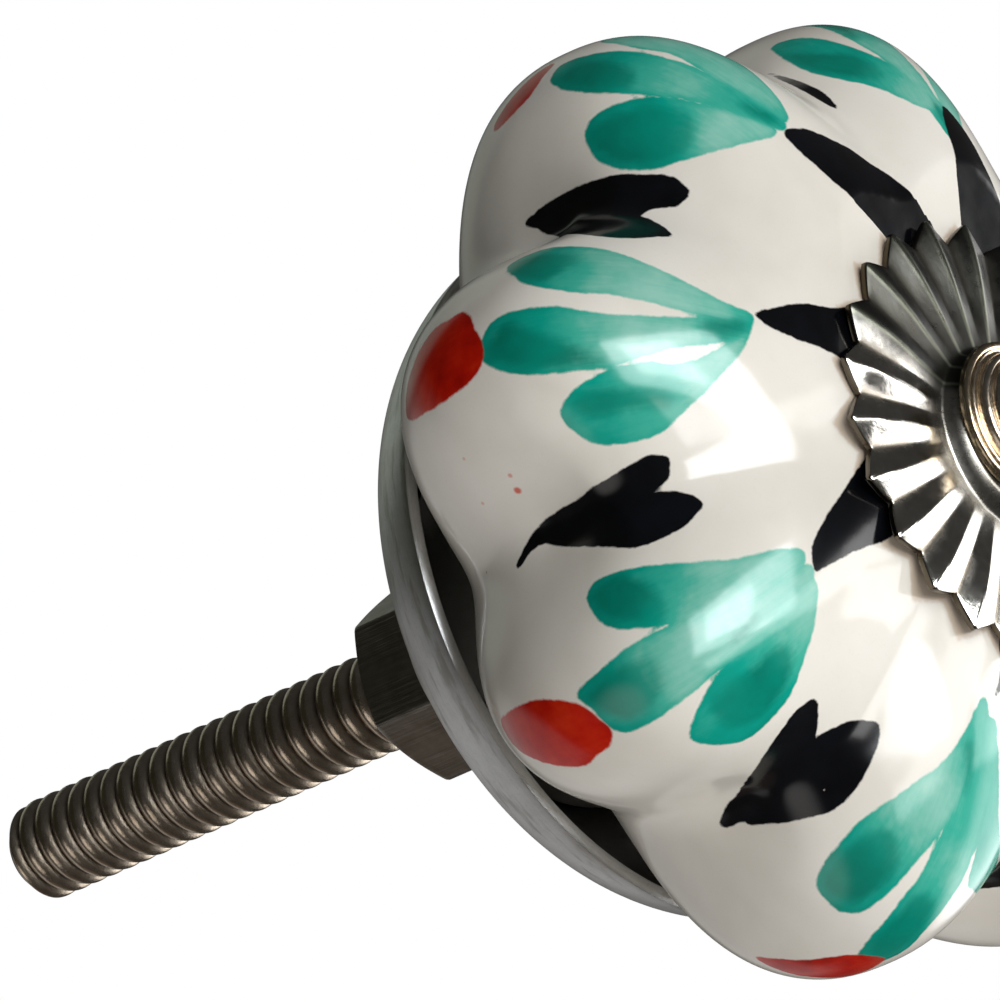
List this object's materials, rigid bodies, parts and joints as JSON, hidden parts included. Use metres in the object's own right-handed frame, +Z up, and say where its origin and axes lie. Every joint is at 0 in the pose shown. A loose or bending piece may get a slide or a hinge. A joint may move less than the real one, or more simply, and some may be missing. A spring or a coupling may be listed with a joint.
{
  "type": "cabinet knob",
  "caption": "Lobed glazed ceramic cabinet knob with hand-painted sprigs, a pleated metal rosette in front, a cup behind, and a threaded stud with a hex nut.",
  "frame": {"origin": "centre of the nut's rear face, where the threaded stud comes out", "axes": "+Y along the stud, away from the knob; the knob's front looks along -Y; +Z is up, through the crest of one lobe"},
  "size_m": [0.0442, 0.0614, 0.0442],
  "materials": {
    "glazed_body": "glossy warm off-white glaze with painted teal, black and red sprigs",
    "rosette_plate": "bright nickel plate over a pressed sheet, with fine scratches",
    "screw_plate": "nickel plate, warm in the thread roots",
    "cup_plate": "nickel plate with fine turned lines",
    "nut_plate": "nickel plate with milled flats"
  },
  "bodies": {
    "root": {"ceramic_body": "glazed_body", "front_rosette": "rosette_plate", "knob_screw": "screw_plate", "backplate_cup": "cup_plate", "hex_nut": "nut_plate"}
  },
  "joints": []
}
